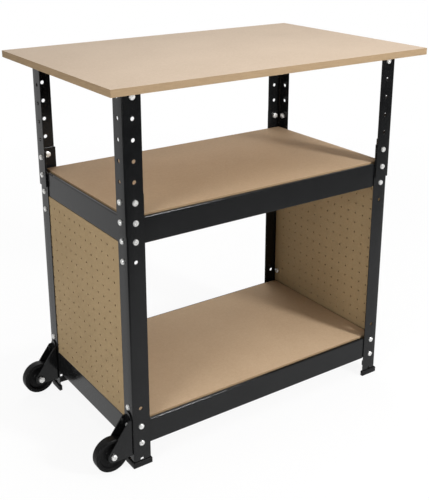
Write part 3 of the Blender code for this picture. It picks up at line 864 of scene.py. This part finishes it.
def bolt_and_nut(
    grip, head_radius=HEAD_RADIUS, head_height=HEAD_HEIGHT, nut_height=NUT_HEIGHT, tail=BOLT_TAIL
):
    """A bolt with its head on the plane Z 0 and its nut behind the grip."""
    bm = recessed_head(head_radius, head_height)
    length = grip + nut_height + tail
    bmesh.ops.create_cone(
        bm,
        cap_ends=True,
        segments=SHANK_STEPS,
        radius1=BOLT_RADIUS * TAIL_TAPER,
        radius2=BOLT_RADIUS,
        depth=length,
        matrix=Matrix.Translation((0, 0, -length / 2)),
    )
    corner_radius = NUT_FLATS / 2 / math.cos(math.pi / NUT_SIDES)
    nut = bmesh.ops.create_cone(
        bm,
        cap_ends=True,
        segments=NUT_SIDES,
        radius1=corner_radius,
        radius2=corner_radius,
        depth=nut_height,
        matrix=Matrix.Translation((0, 0, -grip - nut_height / 2)),
    )
    nut_edges = {edge for vert in nut["verts"] for edge in vert.link_edges}
    rims = [edge for edge in nut_edges if abs(edge.verts[0].co.z - edge.verts[1].co.z) < TOUCHING]
    bmesh.ops.bevel(
        bm,
        geom=rims,
        offset=NUT_EASING,
        affect="EDGES",
        segments=EASING_STEPS,
        profile=0.5,
        material=-1,
    )
    return bm


JOINT_GAP = 0.0003
panel_low, panel_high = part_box("pegboard_left")
beam_stack = LEG_SHEET + BEAM_SHEET + 2 * JOINT_GAP
panel_stack = LEG_SHEET + panel_high.x - panel_low.x + 2 * JOINT_GAP
for corner, (outer, inward) in bolt_corner.items():
    nest = abs(outer.x - corner_of("upper_leg_" + corner, corner)[0].x)
    for flange in ("front", "side"):
        out = Vector((0, -inward.y, 0)) if flange == "front" else Vector((-inward.x, 0, 0))
        along = Vector((inward.x, 0, 0)) if flange == "front" else Vector((0, inward.y, 0))
        bolted = [(height, beam_stack) for height in (*bottom_bolts, *mid_bolts)]
        bolted.append((upper_holes[1], LEG_SHEET))
        if flange == "side":
            bolted += [(height, panel_stack) for height in panel_bolts]
        for number, (height, stack) in enumerate(bolted):
            proud = nest if height >= mid_bolts[1] else 0.0
            if flange == "side" and "left" in corner and height in bottom_bolts:
                proud = BRACKET_SHEET + JOINT_GAP
            spot = outer + along * HOLE_INSET + out * proud + Vector((0, 0, height))
            bm = face_along(bolt_and_nut(stack + proud), spot, out)
            piece(f"bolt_{corner}_{flange}_{number}", bm, zinc)


# Top brackets: small folded angles, each bolted inside the top hole of a leg and screwed up into the
# top board from below.
TOP_BRACKET_SHEET = 0.002
TOP_BRACKET_BEND = 0.0015
SCREW_HOLE = 0.005
SCREW_HEAD_RADIUS = 0.0042
SCREW_HEAD_HEIGHT = 0.0022
for corner in CORNERS:
    node = "top_bracket_" + corner
    low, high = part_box(node)
    size = high - low
    outer, inward, _, _ = corner_of(node, corner)
    bend = TOP_BRACKET_BEND * QUARTER
    leg_flat = size.z - TOP_BRACKET_BEND
    board_flat = size.y - TOP_BRACKET_BEND
    width = leg_flat + bend + board_flat
    screw_reach = (TOP_BRACKET_SHEET + size.y) / 2
    holes = [
        (upper_holes[-1] - low.z, size.x / 2, HOLE_DIAMETER / 2),
        (leg_flat + bend + screw_reach - TOP_BRACKET_BEND, size.x / 2, SCREW_HOLE / 2),
    ]
    bm = blank([(0, 0), (width, 0), (width, size.x), (0, size.x)], holes)
    fold(bm, [(leg_flat, 0), (bend, -QUARTER), (board_flat, 0)], heading=QUARTER)
    thicken(bm, TOP_BRACKET_SHEET)
    inwards = Vector((0, inward.y, 0))
    seat(bm, inwards, UP, Vector((1, 0, 0)), Vector((low.x, outer.y, low.z)))
    piece(node + "_folded", bm, powder_coat, stands_for=[node])
    middle = (low.x + high.x) / 2
    upper_outer = corner_of("upper_leg_" + corner, corner)[0]
    grip = LEG_SHEET + TOP_BRACKET_SHEET + JOINT_GAP
    bm = face_along(bolt_and_nut(grip), (middle, upper_outer.y, upper_holes[-1]), -inwards)
    piece("top_bolt_" + corner, bm, zinc)
    under = (middle, outer.y + inward.y * screw_reach, high.z - TOP_BRACKET_SHEET)
    bm = face_along(recessed_head(SCREW_HEAD_RADIUS, SCREW_HEAD_HEIGHT), under, -UP)
    piece("top_screw_" + corner, bm, zinc)


# Axles: each wheel turns on a zinc sleeve between the cheeks, clamped by a long bolt whose head sits on
# the outer cheek and whose nut sits on the inner one.
AXLE_HEAD_RADIUS = 0.00675
AXLE_HEAD_HEIGHT = 0.0045
AXLE_NUT_HEIGHT = 0.0065
AXLE_TAIL = 0.0025
for end, axle in axles.items():
    out = Vector((0, math.copysign(1, axle.y), 0))
    bracket_low, bracket_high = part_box("wheel_bracket_" + end)
    half = (bracket_high.y - bracket_low.y) / 2 + JOINT_GAP
    bm = bolt_and_nut(2 * half, AXLE_HEAD_RADIUS, AXLE_HEAD_HEIGHT, AXLE_NUT_HEIGHT, AXLE_TAIL)
    face_along(bm, axle + out * half, out)
    solids = ["axle_bolt_" + end, "axle_nut_" + end]
    piece("axle_bolt_and_nut_" + end, bm, zinc, stands_for=solids)
    sleeve = frame["nodes"]["axle_sleeve_" + end]
    sleeve.data.materials.clear()
    sleeve.data.materials.append(zinc)
